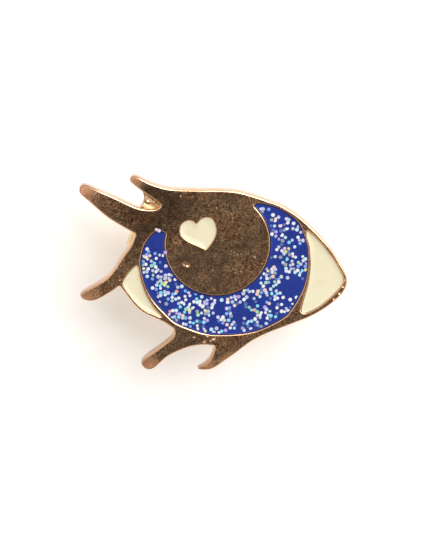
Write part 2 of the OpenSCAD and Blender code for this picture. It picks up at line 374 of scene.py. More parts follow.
def relief(p, height, shading=None):
    """The points at their height, with the normals that the shading height has, or the height itself."""
    shading = shading or height
    step = 0.01
    slope_x = (shading(p + [step, 0]) - shading(p - [step, 0])) / (2 * step)
    slope_y = (shading(p + [0, step]) - shading(p - [0, step])) / (2 * step)
    no = np.c_[-slope_x, -slope_y, np.ones(len(p))]
    return np.c_[p, height(p)], no / np.linalg.norm(no, axis=1)[:, None]


def face_height(p, tip_share=1.0):
    z = np.full(len(p), FACE_TOP)
    for x, y, reach, drop in LASH_TIPS:
        near = np.clip(1 - np.hypot(p[:, 0] - x, p[:, 1] - y) / reach, 0, 1)
        z -= tip_share * drop * near ** TIP_BEND
    for x, y, radius, depth in DENTS:
        z -= depth * np.exp(-((p[:, 0] - x) ** 2 + (p[:, 1] - y) ** 2) / radius ** 2 * 2)
    return z


def face(p):
    """The struck face's points and normals: level, with sunk lash tips and small dents."""
    return relief(p, face_height, lambda q: face_height(q, TIP_LEAN))


def web_height(p):
    """The sunk web's rough floor: a curl, a lump and slow waves."""
    curl = np.hypot(p[:, 0] - CURL_AT[0], p[:, 1] - CURL_AT[1]) - CURL_R
    lump = np.hypot(p[:, 0] - LUMP_AT[0], p[:, 1] - LUMP_AT[1])
    raised = 0.11 * np.exp(-(curl / 0.15) ** 2) + 0.12 * np.exp(-(lump / 0.22) ** 2)
    return WEB_TOP - 0.03 + raised + 0.03 * np.sin(p[:, 0] * 4 + p[:, 1] * 7)


def struck_plate(material):
    """The plate: its outline, the cells for the enamel, the pockets in its back and the sunk web."""
    s = Surface()
    normals = inward(FACE_OUTLINE)
    room = room_for_radius(FACE_OUTLINE, normals, np.vstack([FACE_OUTLINE] + CELLS), EDGE_R)
    wall_top, rim = rounded_rings(s, FACE_OUTLINE, normals, room, face)
    back_room = room * BACK_EDGE_R / EDGE_R
    back = flat_at(0, -UP)
    wall_foot, back_rim = rounded_rings(s, FACE_OUTLINE, normals, back_room, back, down=True, steps=3)
    s.bridge(wall_top, wall_foot)
    face_rings = [rim] + [cell_walls(s, cell, radius) for cell, radius in zip(CELLS, CELL_EDGE_R)]
    around_dents = [(x + r * k * math.cos(a), y + r * k * math.sin(a)) for x, y, r, _ in DENTS
                    for k in DENT_RINGS for a in np.arange(8) * math.pi / 4]
    s.fill(face_rings, face, 0.4, around_dents)
    s.fill([back_rim] + [pocket_walls(s, side) for side in ("left", "right")], back, 0.8)
    sunk_web(s)
    s.make("struck_plate", material, "pin", ["base_plate"])


def cell_walls(s, cell, radius):
    """A cell's rounded edge, walls and floor. Gives the edge's ring on the face."""
    outward = -inward(cell)
    room = room_for_radius(cell, outward, np.vstack([FACE_OUTLINE] + CELLS), radius)
    wall, edge = rounded_rings(s, cell, outward, room, face, steps=3)
    s.bridge(wall, s.add_wall(cell, CELL_FLOOR, outward))
    s.fill([s.add(*flat_at(CELL_FLOOR)(cell))], flat_at(CELL_FLOOR), 1.0)
    return edge


def pocket_walls(s, side):
    """The edge and walls of the back pocket of one post. Gives the edge's ring on the back."""
    x, y, r, depth = pocket(side)
    hole = ring((x, y), r)
    outward = -inward(hole)
    room = np.full(len(hole), POCKET_EDGE_R)
    wall, edge = rounded_rings(s, hole, outward, room, flat_at(0, -UP), down=True, steps=3)
    s.bridge(wall, s.add_wall(hole, depth, outward))
    return edge


def sunk_web(s):
    """The low web that closes the narrow end of the slot between the two upper lashes."""
    normals = inward(WEB_OUTLINE)
    foot = s.add_wall(WEB_OUTLINE, 0, normals)
    room = np.full(len(WEB_OUTLINE), WEB_EDGE_R)
    shoulder, edge = rounded_rings(s, WEB_OUTLINE, normals, room, flat_at(WEB_TOP), steps=3)
    s.bridge(foot, shoulder)
    s.fill([edge], lambda p: relief(p, web_height), 0.08)
    s.fill([s.add(*flat_at(0, -UP)(WEB_OUTLINE))], flat_at(0, -UP), 0.8)


def pocket(side):
    """Centre, radius and depth in millimetres of the back pocket that a post's flange sits in."""
    lo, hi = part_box(f"post_{side}")
    return (lo.x + hi.x) / 2 / MM, (lo.y + hi.y) / 2 / MM, (hi.x - lo.x) / 2 / MM, hi.z / MM


# ---------------------------------------------------------------- enamel and glitter

# Distances from the metal at which the enamel's climbing edge has a ring of points, where there is room.
MENISCUS = [0, 0.03, 0.08, 0.15, 0.26, 0.42]


def enamel(name, cell, material, node, edge_z, middle_z, reach=0.16):
    """Enamel that climbs the metal at its edge, from middle_z to edge_z, mostly within reach of it."""
    s = Surface()
    normals = inward(cell)
    room = room_for_radius(cell, normals, cell, MENISCUS[-1])
    rings = []
    for share in np.array(MENISCUS) / MENISCUS[-1]:
        d = share * room
        q = cell + normals * d[:, None]
        z = middle_z + (edge_z - middle_z) * np.exp(-d / reach)
        slope = (edge_z - middle_z) / reach * np.exp(-d / reach)
        rings.append(s.add(np.c_[q, z], np.c_[normals * slope[:, None], np.ones(len(q))]))
        if len(rings) > 1:
            s.bridge(rings[-2], rings[-1])

    def middle(p):
        z = middle_z + (edge_z - middle_z) * np.exp(-nearest(p, cell) / reach)
        return np.c_[p, z], np.tile(UP, (len(p), 1))

    s.fill([rings[-1]], middle, 0.45)
    foot = s.add_wall(cell, CELL_FLOOR, normals)
    s.bridge(s.add_wall(cell, edge_z, normals), foot)
    s.fill([s.add(*flat_at(CELL_FLOOR, -UP)(cell))], flat_at(CELL_FLOOR, -UP), 1.2)
    s.make(name, material, "pin", [node])


# Places where the glitter lies thinner: x, y, radius and the share of it that is left.
THIN_GLITTER = [
    (-7.4, 1.6, 1.5, 0.0), (7.4, -3.6, 1.35, 0.05), (1.62, -6.6, 0.8, 0.0), (-0.6, -6.1, 0.7, 0.3),
    (6.2, 2.6, 3.1, 0.62),
]
# Flakes left on the metal: x, y and shade.
STRAY_FLAKES = [(-7.58, 2.82, 0.75), (-7.28, 2.68, 0.65), (-6.58, 0.2, 0.915)]
FLAKE_R = 0.22
FLAKE_T = 0.012
FLAKE_SEED = 41
FLAKE_TRIES = 9000
# The share of the places tried that may take a flake, where the glitter lies thickest.
FLAKE_SHARE = 0.42
# The least distance from a flake's middle to the metal.
FLAKE_TO_METAL = 0.17


def flake_places(rng):
    """Places for the flakes in the iris, clear of the metal and of one another."""
    lo, hi = IRIS_CELL.min(0), IRIS_CELL.max(0)
    tries = [(rng.uniform(lo[0], hi[0]), rng.uniform(lo[1], hi[1])) for _ in range(FLAKE_TRIES)]
    tries = np.array(tries)
    tries = tries[inside(tries, IRIS_CELL)]
    tries = tries[nearest(tries, IRIS_CELL) > FLAKE_TO_METAL]
    kept = []
    for p in tries:
        chance = 1.0
        for x, y, radius, left in THIN_GLITTER:
            if math.hypot(p[0] - x, p[1] - y) < radius:
                chance = left
        # The flakes drift together while the enamel is wet, so they lie in loose clumps.
        clump = math.sin(1.9 * p[0] + 2.1 * math.sin(1.3 * p[1]))
        clump += math.sin(2.6 * p[1] + 1.7 * math.sin(1.1 * p[0] + 2))
        chance *= min(1, max(0.3, 0.6 + 0.36 * clump))
        apart = 0.24 + 0.12 * rng.random()
        wanted = rng.random() < FLAKE_SHARE * chance
        if wanted and all(math.hypot(p[0] - q[0], p[1] - q[1]) > apart for q in kept):
            kept.append(p)
    return kept


def glitter(material):
    """Loose hexagonal flakes in the iris, each with its own tilt, size and shade, in one mesh."""
    rng = random.Random(FLAKE_SEED)
    lowest, spread = ENAMEL_TOP - 0.012, 0.02
    places = [(x, y, lowest + spread * rng.random(), rng.random()) for x, y in flake_places(rng)]
    places += [(x, y, FACE_TOP + 0.018, tone) for x, y, tone in STRAY_FLAKES]
    co, faces, tones = [], [], []
    for x, y, z, tone in places:
        most = 3 if z > FACE_TOP else 14
        tilt = math.radians(min(abs(rng.gauss(0, 5)), most))
        way = rng.uniform(0, 2 * math.pi)
        turn = rng.uniform(0, math.pi / 3)
        size = FLAKE_R * rng.uniform(0.78, 1.08)
        normal = Vector((math.sin(tilt) * math.cos(way), math.sin(tilt) * math.sin(way), math.cos(tilt)))
        side = normal.orthogonal().normalized()
        other = normal.cross(side)
        start = len(co)
        for level in (FLAKE_T / 2, -FLAKE_T / 2):
            for k in range(6):
                a = turn + k * math.pi / 3
                out = side * math.cos(a) + other * math.sin(a)
                co.append(Vector((x, y, z)) + out * size + normal * level)
        faces.append([start + k for k in range(6)])
        for k in range(6):
            after = (k + 1) % 6
            faces.append([start + k, start + 6 + k, start + 6 + after, start + after])
        faces.append([start + 11 - k for k in range(6)])
        tones += [tone] * 8
    mesh = bpy.data.meshes.new("iris_glitter")
    mesh.from_pydata([c * MM for c in co], [], faces)
    mesh.attributes.new("tone", "FLOAT", "FACE").data.foreach_set("value", tones)
    place(mesh, "iris_glitter", material, "pin")


# ---------------------------------------------------------------- posts and clutches

def lathe(surface, profile, at, segments=96, wobble=None):
    """Turns a profile of (radius, z) points round a post's axis. wobble(angles, radius, z) lifts them."""
    angles = np.arange(segments) / segments * 2 * math.pi
    ways = np.c_[np.cos(angles), np.sin(angles)]
    rows = []
    profile = np.array(profile, float)
    for i, (r, z) in enumerate(profile):
        before, after = profile[max(i - 1, 0)], profile[min(i + 1, len(profile) - 1)]
        t = after - before
        n = np.array([t[1], -t[0]]) / max(np.linalg.norm(t), 1e-9)
        lift = wobble(angles, r, z) if wobble else 0
        xyz = np.c_[at[0] + r * ways[:, 0], at[1] + r * ways[:, 1], np.full(segments, z) + lift]
        rows.append(surface.add(xyz, np.c_[n[0] * ways, np.full(segments, n[1])]))
        if i:
            surface.bridge(rows[-2], rows[-1])


def bend(centre, radius, start, end, steps=5):
    """Points of a rounded corner, from one angle in degrees to another."""
    turns = np.radians(np.linspace(start, end, steps + 1))
    return [(centre[0] + radius * math.cos(t), centre[1] + radius * math.sin(t)) for t in turns]


def sharp_by_angle(obj, degrees):
    """Smooth shading, apart from the edges that turn by more than the angle."""
    obj.data.shade_smooth()
    obj.data.set_sharp_from_angle(angle=math.radians(degrees))


def post(side, material):
    """A nail-like post: a flange in the plate's pocket, a thick shank, a groove for the jaws and a point."""
    x, y, flange_r, flange_top = pocket(side)
    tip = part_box(f"post_{side}")[0].z / MM
    s = Surface()
    profile = [(0.001, flange_top), (flange_r - 0.02, flange_top), (flange_r - 0.02, 0.12)]
    profile += bend((flange_r - 0.1, 0.13), 0.08, 0, -90)
    profile += [(1.3, 0.05), (0.9, 0.04)] + bend((0.75, -0.16), 0.2, 90, 180, 6)
    shank = [(0.55, -0.4), (0.55, -1.2), (0.55, -2), (0.5, -2.6)]
    groove = [(0.48, -2.75), (0.41, -2.87), (0.4, -3.0), (0.4, -3.45), (0.41, -3.57), (0.49, -3.68)]
    rod = [(0.5, -3.8), (0.5, -5), (0.5, tip + 1.72), (0.485, tip + 1.55)]
    point = [(0.25, tip + 0.62), (0.09, tip + 0.1), (0.05, tip + 0.02), (0.001, tip)]
    profile += shank + groove + rod + point
    lathe(s, profile, (x, y), 64)
    obj = s.make(f"post_{side}_pin", material, "pin", [f"post_{side}"], own_normals=False)
    sharp_by_angle(obj, 50)


# The cap: the height of its front, its sheet, the top of its rolled lip, its hole and its bumps.
CAP_FRONT = -2.35
SHEET_T = 0.35
LIP_TOP = -4.1
HOLE_R = 0.75
BUMP_AWAY = 3.4
BUMP_R = 0.42
BUMP_H = 0.2


def cap(side, at, material):
    """The pressed disc: a hole with a turned edge, three raised bumps and a rim rolled over the retainer."""
    name = f"clutch_{side}_cap"
    lo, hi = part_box(name)
    r = (hi.x - lo.x) / 2 / MM
    turn = math.atan2(*reversed(wing_way(side)))
    bumps = [turn + math.radians(30 + 120 * k) for k in range(3)]
    front = [(d, CAP_FRONT) for d in np.arange(HOLE_R + 0.2, r - 0.7, 0.12)]
    profile = bend((HOLE_R + 0.12, CAP_FRONT - 0.12), 0.12, 180, 90, 3) + front
    profile += bend((r - 0.7, CAP_FRONT - 0.7), 0.7, 90, 0, 8) + [(r, -3.4), (r, -3.9)]
    profile += bend((r - 0.3, LIP_TOP - SHEET_T + 0.3), 0.3, 0, -90, 5)
    profile += [(r - 0.6, LIP_TOP - SHEET_T), (r - 1, LIP_TOP - SHEET_T + 0.01)]
    profile += bend((r - 1.0, LIP_TOP - SHEET_T / 2), SHEET_T / 2 - 0.01, -90, -270, 5)
    profile += [(r - SHEET_T - 0.05, LIP_TOP), (r - SHEET_T, LIP_TOP + 0.1), (r - SHEET_T, -3.2)]
    profile += bend((r - 0.7, CAP_FRONT - 0.7), 0.35, 0, 90, 5)
    profile += [(d, CAP_FRONT - SHEET_T) for d in np.arange(r - 0.8, HOLE_R + 0.1, -0.3)]
    profile += [(HOLE_R, CAP_FRONT - SHEET_T + 0.02), (HOLE_R, CAP_FRONT - 0.12)]

    def pressed(angles, radius, z):
        """The bumps and a faint ring on the front, and the crimps of the rolled lip."""
        lift = np.zeros(len(angles))
        if z > CAP_FRONT - 0.05:
            for b in bumps:
                d = np.hypot(radius * np.cos(angles) - BUMP_AWAY * math.cos(b),
                             radius * np.sin(angles) - BUMP_AWAY * math.sin(b))
                lift += BUMP_H * np.exp(-(d / BUMP_R) ** 2)
            lift += 0.02 * math.exp(-((radius - 2.2) / 0.12) ** 2)
        if z < LIP_TOP + 0.02 and radius < r - 0.5:
            lift += 0.018 * np.cos(28 * angles) * min(1, (r - 0.5 - radius) / 0.4)
        return lift

    s = Surface()
    lathe(s, profile, at, 144, pressed)
    obj = s.make(name + "_shell", material, f"clutch_{side}", [name], own_normals=False)
    sharp_by_angle(obj, 40)


def wing_way(side):
    """Unit direction from a clutch's axis to its wing a, read from that wing's hinge."""
    hinge = next(j for j in frame["joints"] if j["name"] == f"clutch_{side}_wing_a_squeeze")
    x, y, _, _ = pocket(side)
    way = np.array(hinge["pos_m"][:2]) / MM - [x, y]
    return way / np.linalg.norm(way)


def rounded_box(half_x, half_y, r):
    """An oblong with rounded corners about the origin."""
    x, y = half_x - r, half_y - r
    corners = [(x, y, 0), (-x, y, 90), (-x, -y, 180), (x, -y, 270)]
    return np.array([p for x, y, a in corners for p in bend((x, y), r, a, a + 90, 4)])


def retainer(side, at, material):
    """The plate under the rim, with a slot for the jaws."""
    name = f"clutch_{side}_retainer"
    lo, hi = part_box(name)
    s = Surface()
    way = wing_way(side)
    turned = np.array([way, [-way[1], way[0]]])
    outer = ring(at, (hi.x - lo.x) / 2 / MM)
    slot_edge = rounded_box(2.4, 2.15, 0.35) @ turned + at
    tops, lows = [], []
    for outline, flip in ((outer, 1), (slot_edge, -1)):
        n = inward(outline) * flip
        r = np.full(len(outline), 0.07)
        top_wall, top_ring = rounded_rings(s, outline, n, r, flat_at(hi.z / MM), steps=3)
        low = flat_at(lo.z / MM, -UP)
        low_wall, low_ring = rounded_rings(s, outline, n, r, low, down=True, steps=3)
        s.bridge(top_wall, low_wall)
        tops.append(top_ring)
        lows.append(low_ring)
    s.fill(tops, flat_at(hi.z / MM), 0.6)
    s.fill(lows, flat_at(lo.z / MM, -UP), 0.6)
    s.make(name + "_plate", material, f"clutch_{side}", [name])


# The wings: the jaw's height, hole, split and half width, the leg's distance from the post's axis, the
# sheet's thickness, and the curve down to the ear as (distance from the axis, height).
JAW_Z = -3.22
JAW_HOLE_R = 0.58
JAW_SPLIT = 0.15
JAW_HALF_W = 1.6
LEG_X = 1.85
WING_T = 0.4
EAR_END = (4.9, -7.8)
WING_CURVE = [(LEG_X, -4.9), (LEG_X + 0.35, -5.9), (LEG_X + 1.25, -6.75), (LEG_X + 2.2, -7.35), EAR_END]


def wing_half_width(x):
    """Half the wing's width at x: narrow at the jaw, wide and rounded at the ear."""
    if x < LEG_X + 0.3:
        return JAW_HALF_W
    grow = min(1, (x - LEG_X - 0.3) / 1.45)
    wide = JAW_HALF_W + 1.1 * (3 * grow ** 2 - 2 * grow ** 3)
    past = max(0, x - 3.6) / 1.32
    return wide - 1.3 * (1 - math.sqrt(max(0, 1 - past ** 2)))


def wing(side, letter, at, material):
    """A jaw round the post, a leg and a flared finger wing, bent from one strip of sheet."""
    name = f"clutch_{side}_wing_{letter}"
    way = wing_way(side) * (1 if letter == "a" else -1)
    across = np.array([-way[1], way[0]])
    path = bend((LEG_X - 0.35, JAW_Z - 0.35), 0.35, 90, 0, 5) + [(LEG_X, -4.2)]
    path += [tuple(p) for p in curve(WING_CURVE, 0.22)] + [EAR_END]
    rows = []
    for v in np.linspace(-1, 1, 25):
        y = v * JAW_HALF_W
        start = math.sqrt(max(JAW_HOLE_R ** 2 - y * y, JAW_SPLIT ** 2))
        rows.append([(start + (LEG_X - 0.35 - start) * k / 4, y, JAW_Z) for k in range(4)])
        rows[-1] += [(x, v * wing_half_width(x), z) for x, z in path]
    n = len(rows[0])
    co = [(*(at + way * x + across * y), z) for row in rows for x, y, z in row]
    faces = [(i * n + k, i * n + k + 1, (i + 1) * n + k + 1, (i + 1) * n + k)
             for i in range(len(rows) - 1) for k in range(n - 1)]
    mesh = bpy.data.meshes.new(name + "_sheet")
    mesh.from_pydata((np.array(co) * MM).tolist(), [], faces)
    obj = place(mesh, name + "_sheet", material, name, [name])
    solid = obj.modifiers.new("sheet", "SOLIDIFY")
    solid.thickness = (WING_T - 0.02) * MM
    solid.offset = 0
    edge = obj.modifiers.new("edge", "BEVEL")
    edge.width = 0.09 * MM
    edge.segments = 3
    edge.limit_method = "ANGLE"
    edge.angle_limit = math.radians(50)
    mesh.shade_smooth()
    obj.modifiers.new("shade", "WEIGHTED_NORMAL").keep_sharp = True


# ---------------------------------------------------------------- materials

def set_stops(node, stops):
    """Sets the colours or greys of a ramp node, at places along 0 to 1."""
    elements = node.color_ramp.elements
    while len(elements) < len(stops):
        elements.new(0.5)
    for element, (at, colour) in zip(elements, stops):
        element.position = at
        element.color = (*colour, 1) if isinstance(colour, tuple) else (colour, colour, colour, 1)


class Nodes:
    """A short way to write a material's nodes."""

    def __init__(self, name):
        self.material = bpy.data.materials.new(name)
        self.material.use_nodes = True
        self.tree = self.material.node_tree
        self.shader = self.tree.nodes["Principled BSDF"]
        self.place = self.add("ShaderNodeTexCoord").outputs["Object"]

    def add(self, kind, **settings):
        node = self.tree.nodes.new(kind)
        for k, v in settings.items():
            setattr(node, k, v)
        return node

    def link(self, a, b):
        self.tree.links.new(a, b)

    def noise(self, size_mm, detail=2.0, rough=0.5, stretch=None):
        """Noise whose features are about size_mm across."""
        node = self.add("ShaderNodeTexNoise")
        node.inputs["Scale"].default_value = 1 / (size_mm * MM)
        node.inputs["Detail"].default_value = detail
        node.inputs["Roughness"].default_value = rough
        where = self.place
        if stretch:
            shape = self.add("ShaderNodeMapping")
            shape.inputs["Scale"].default_value = stretch
            self.link(where, shape.inputs["Vector"])
            where = shape.outputs["Vector"]
        self.link(where, node.inputs["Vector"])
        return node.outputs["Fac"]

    def ramp(self, value, stops, constant=False):
        """Colours or greys at places along 0 to 1."""
        node = self.add("ShaderNodeValToRGB")
        node.color_ramp.interpolation = "CONSTANT" if constant else "LINEAR"
        set_stops(node, stops)
        self.link(value, node.inputs["Fac"])
        return node.outputs["Color"]

    def multiply(self, a, b, share=1.0):
        node = self.add("ShaderNodeMixRGB", blend_type="MULTIPLY")
        node.inputs["Fac"].default_value = share
        self.link(a, node.inputs["Color1"])
        self.link(b, node.inputs["Color2"])
        return node.outputs["Color"]

    def mix(self, share, a, b):
        """a where share is 0, b where it is 1. Each is an output, a colour or a grey."""
        node = self.add("ShaderNodeMixRGB")
        self.link(share, node.inputs["Fac"])
        for value, socket in ((a, node.inputs["Color1"]), (b, node.inputs["Color2"])):
            if isinstance(value, tuple):
                socket.default_value = (*value, 1)
            elif isinstance(value, float):
                socket.default_value = (value, value, value, 1)
            else:
                self.link(value, socket)
        return node.outputs["Color"]

    def levelness(self, none, full, normal="True Normal"):
        """0 where the normal's upright part is none or less, as on walls, and 1 where it is full or more."""
        split = self.add("ShaderNodeSeparateXYZ")
        self.link(self.add("ShaderNodeNewGeometry").outputs[normal], split.inputs["Vector"])
        size = self.add("ShaderNodeMath", operation="ABSOLUTE")
        self.link(split.outputs["Z"], size.inputs[0])
        return self.ramp(size.outputs["Value"], [(none, 0.0), (full, 1.0)])

    def height(self, low_mm, high_mm):
        """Height above the plate's back, 0 at low_mm and 1 at high_mm."""
        split = self.add("ShaderNodeSeparateXYZ")
        self.link(self.place, split.inputs["Vector"])
        share = self.add("ShaderNodeMapRange")
        share.inputs["From Min"].default_value = low_mm * MM
        share.inputs["From Max"].default_value = high_mm * MM
        self.link(split.outputs["Z"], share.inputs["Value"])
        return share.outputs["Result"]

    def distance(self, place_mm):
        """Distance from a place, in centimetres."""
        centimetres_per_metre = 100
        node = self.add("ShaderNodeVectorMath", operation="DISTANCE")
        node.inputs[1].default_value = [v * MM for v in place_mm]
        self.link(self.place, node.inputs[0])
        grow = self.add("ShaderNodeMath", operation="MULTIPLY")
        grow.inputs[1].default_value = centimetres_per_metre
        self.link(node.outputs["Value"], grow.inputs[0])
        return grow.outputs["Value"]

    def bump(self, value, depth_mm, after=None, strength=None):
        """A normal bent by the value's slopes, on top of the bump called after."""
        node = self.add("ShaderNodeBump")
        node.inputs["Strength"].default_value = 1
        if strength:
            self.link(strength, node.inputs["Strength"])
        node.inputs["Distance"].default_value = depth_mm * MM
        self.link(value, node.inputs["Height"])
        if after:
            self.link(after, node.inputs["Normal"])
        return node.outputs["Normal"]

    def set(self, **values):
        names = {"coat": "Coat Weight", "coat_rough": "Coat Roughness", "metal": "Metallic",
                 "rough": "Roughness", "specular": "Specular IOR Level",
                 "scatter": "Subsurface Weight", "scatter_scale": "Subsurface Scale"}
        for k, v in values.items():
            self.shader.inputs[names[k]].default_value = v


def gold_face():
    """Rose-gold plating: a sandy struck face, lash tips of smooth polish, browner walls and a bright sunk
    web, the last three with painted light.

    The four are told apart by how level the surface is and by its height above the plate's back."""
    n = Nodes("rose_gold_plate")
    n.set(metal=1.0)
    rise = n.height(0, PLATE_T)
    level = n.levelness(0.9, 0.985)
    flat = n.levelness(0.968, 0.995, "Normal")
    worn = n.ramp(n.noise(3.2, 1), [(0.4, 0.5), (0.55, 1.0)])
    # Specks: real rough spots, whose bright gold colour in the struck face is a painted glint.
    speck_and_glint = n.multiply(n.ramp(n.noise(0.16, 1), [(0.64, 0.0), (0.71, 0.8)]), worn)
    struck = struck_colour(n, worn, speck_and_glint)
    # Where the shading normal tilts, as at the lash tips: a colour without grain for the real polish, made
    # pinker as a painted reflection.
    polish_and_sheen = n.ramp(n.noise(0.9, 2), [(0.3, (0.72, 0.36, 0.21)), (0.7, (0.90, 0.47, 0.26))])
    face_colour = n.mix(flat, polish_and_sheen, struck)
    # Painted sheen: the sunk web's gold is paler and yellower than the rest of the plating, so that it looks
    # lit.
    web = n.ramp(n.noise(0.6, 3), [(0.3, (1.0, 0.70, 0.36)), (0.7, (1.0, 0.80, 0.48))])
    above_web = n.ramp(rise, [(0.6, 0.0), (0.75, 1.0)])
    # Painted light on the walls: darker brown low down as painted shade, paler gold at the rounded top edge
    # as a painted highlight.
    walls = n.ramp(rise, [(0.3, (0.62, 0.44, 0.34)), (0.75, (0.62, 0.39, 0.26)), (0.93, (0.92, 0.59, 0.35))])
    walls = n.multiply(walls, n.ramp(n.noise(1.5, 3), [(0.3, 0.85), (0.7, 1.05)]))
    n.link(n.mix(level, walls, n.mix(above_web, web, face_colour)), n.shader.inputs["Base Color"])

    speck_rough, web_rough = 0.36, 0.55
    rough = n.mix(speck_and_glint, n.ramp(n.noise(0.5, 3), [(0.3, 0.10), (0.7, 0.2)]), speck_rough)
    sunk = n.multiply(level, n.ramp(rise, [(0.6, 1.0), (0.75, 0.0)]))
    n.link(n.mix(sunk, rough, web_rough), n.shader.inputs["Roughness"])

    sandy = n.multiply(n.ramp(level, [(0, 0.25), (1, 1.0)]), n.ramp(rise, [(0.6, 0.35), (0.75, 1.0)]))
    sandy = n.multiply(sandy, n.ramp(worn, [(0.5, 0.85), (1, 1.0)]))
    sandy = n.multiply(sandy, n.ramp(flat, [(0, 0.5), (1, 1.0)]))
    sand = n.bump(n.noise(0.24, 2, 0.6), 0.048, strength=sandy)
    peel = n.bump(n.noise(0.9, 2, 0.5), 0.03, sand, n.ramp(flat, [(0, 0.3), (1, 1.0)]))
    n.link(n.bump(n.noise(5, 1), 0.35, peel), n.shader.inputs["Normal"])
    return n.material


def struck_colour(n, worn, speck_and_glint):
    """The struck face: broad drift, grain where it is worn, bright specks of painted glint, painted shade by
    the left lashes.
    """
    drift = n.ramp(n.noise(3, 2), [(0.34, (0.64, 0.405, 0.245)), (0.5, (0.80, 0.475, 0.275)),
                                   (0.66, (0.92, 0.465, 0.24))])
    grain = n.ramp(n.noise(0.2, 2, 0.6), [(0.3, 0.3), (0.46, 0.82), (0.56, 1.15), (0.66, 1.6)])
    cloud = n.ramp(n.noise(0.55, 2, 0.5), [(0.32, 0.65), (0.5, 1.02), (0.68, 1.28)])
    calm = n.multiply(drift, n.ramp(n.noise(1.3, 2), [(0.35, 0.75), (0.65, 1.1)]))
    struck = n.mix(worn, calm, n.multiply(drift, n.multiply(grain, cloud)))
    # Painted glint: the specks take a bright gold colour.
    struck = n.mix(speck_and_glint, struck, (0.98, 0.70, 0.42))
    # Painted shade: the colour is darkened to about half within 2 mm of the left lashes' roots, fading out
    # by 5.5 mm.
    return n.multiply(struck, n.ramp(n.distance((-8, 5, 1.5)), [(0.2, 0.52), (0.55, 0.98)]))


def blue_enamel():
    """Glossy blue enamel with a faint unevenness."""
    n = Nodes("blue_enamel")
    n.set(rough=0.32, coat=0.6, coat_rough=0.08, specular=0.5)
    n.link(n.ramp(n.noise(1.6, 3), [(0.3, (0.009, 0.026, 0.215)), (0.7, (0.014, 0.036, 0.28))]),
           n.shader.inputs["Base Color"])
    n.link(n.bump(n.noise(0.35, 3), 0.012), n.shader.inputs["Normal"])
    return n.material


def cream_enamel():
    """Glossy cream enamel that lets a little light in."""
    n = Nodes("cream_enamel")
    n.set(rough=0.3, coat=0.35, coat_rough=0.1, scatter=0.15, scatter_scale=0.0006)
    n.link(n.ramp(n.noise(1.8, 3), [(0.3, (0.785, 0.715, 0.505)), (0.7, (0.835, 0.765, 0.553))]),
           n.shader.inputs["Base Color"])
    n.link(n.bump(n.noise(0.8, 2), 0.008), n.shader.inputs["Normal"])
    return n.material


# The flakes' shades, each from its place along the tones up to the next one's.
HOLOGRAM = [
    (0.0, (0.96, 0.97, 1.0)), (0.2, (0.60, 0.66, 0.82)), (0.36, (0.30, 0.80, 1.0)),
    (0.46, (0.62, 0.90, 1.0)), (0.55, (0.26, 0.48, 0.95)), (0.63, (0.74, 0.76, 1.0)),
    (0.72, (0.95, 0.70, 0.64)), (0.78, (0.42, 0.82, 0.55)), (0.81, (0.90, 0.86, 0.42)),
    (0.84, (0.36, 0.42, 0.48)), (0.90, (0.95, 0.45, 0.28)), (0.908, (0.55, 0.42, 0.95)),
    (0.925, (0.12, 0.19, 0.48)),
]


def glitter_film():
    """Holographic film: each flake takes one shade, fine ruling breaks it up, and a faint painted glow
    brightens it.
    """
    n = Nodes("glitter_film")
    n.set(metal=0.25, rough=0.3, coat=0.5, coat_rough=0.08)
    tone = n.add("ShaderNodeAttribute", attribute_name="tone")
    shade = n.ramp(tone.outputs["Fac"], HOLOGRAM, constant=True)
    ruled = n.ramp(n.noise(0.14, 2), [(0.35, 0.75), (0.65, 1.0)])
    film = n.multiply(shade, ruled, 0.5)
    n.link(film, n.shader.inputs["Base Color"])
    # Painted glow: the film's colour also shines as a faint emission, so the flakes look brighter.
    n.link(film, n.shader.inputs["Emission Color"])
    n.shader.inputs["Emission Strength"].default_value = 0.09
    return n.material


def clutch_brass(name, light, deep, brush=None):
    """Bright yellow brass with faint drawing lines and tarnish."""
    n = Nodes(name)
    n.set(metal=1.0)
    n.link(n.ramp(n.noise(2.2, 4), [(0.3, deep), (0.65, light)]), n.shader.inputs["Base Color"])
    n.link(n.ramp(n.noise(0.6, 3), [(0.3, 0.18), (0.7, 0.34)]), n.shader.inputs["Roughness"])
    lines = n.bump(n.noise(0.12, 2, 0.6, brush), 0.004)
    n.link(n.bump(n.noise(1.0, 2), 0.01, lines), n.shader.inputs["Normal"])
    return n.material


# ---------------------------------------------------------------- the pieces

gold = gold_face()
blue = blue_enamel()
cream = cream_enamel()
post_brass = clutch_brass("post_brass", (0.86, 0.62, 0.34), (0.74, 0.48, 0.26), (1, 1, 0.15))
shell_brass = clutch_brass("shell_brass", (0.90, 0.68, 0.36), (0.80, 0.55, 0.28), (1, 0.12, 1))
sheet_brass = clutch_brass("sheet_brass", (0.88, 0.64, 0.34), (0.76, 0.52, 0.26), (0.15, 1, 1))

struck_plate(gold)
enamel("iris_enamel", IRIS_CELL, blue, "enamel_iris",
       PLATE_T - 0.05, ENAMEL_TOP - 0.02)
glitter(glitter_film())
enamel("white_left_enamel", WHITE_LEFT_CELL, cream, "enamel_white_left",
       PLATE_T - 0.04, ENAMEL_TOP - 0.1, 0.22)
enamel("white_right_enamel", WHITE_RIGHT_CELL, cream, "enamel_white_right",
       PLATE_T - 0.04, ENAMEL_TOP - 0.12, 0.3)
enamel("heart_enamel", HEART_CELL, cream, "enamel_heart",
       PLATE_T - 0.04, ENAMEL_TOP - 0.16, 0.5)
for side in ("left", "right"):
    centre = np.array(pocket(side)[:2])
    post(side, post_brass)
    cap(side, centre, shell_brass)
    retainer(side, centre, sheet_brass)
    for letter in "ab":
        wing(side, letter, centre, sheet_brass)


# ---------------------------------------------------------------- floor, light and camera

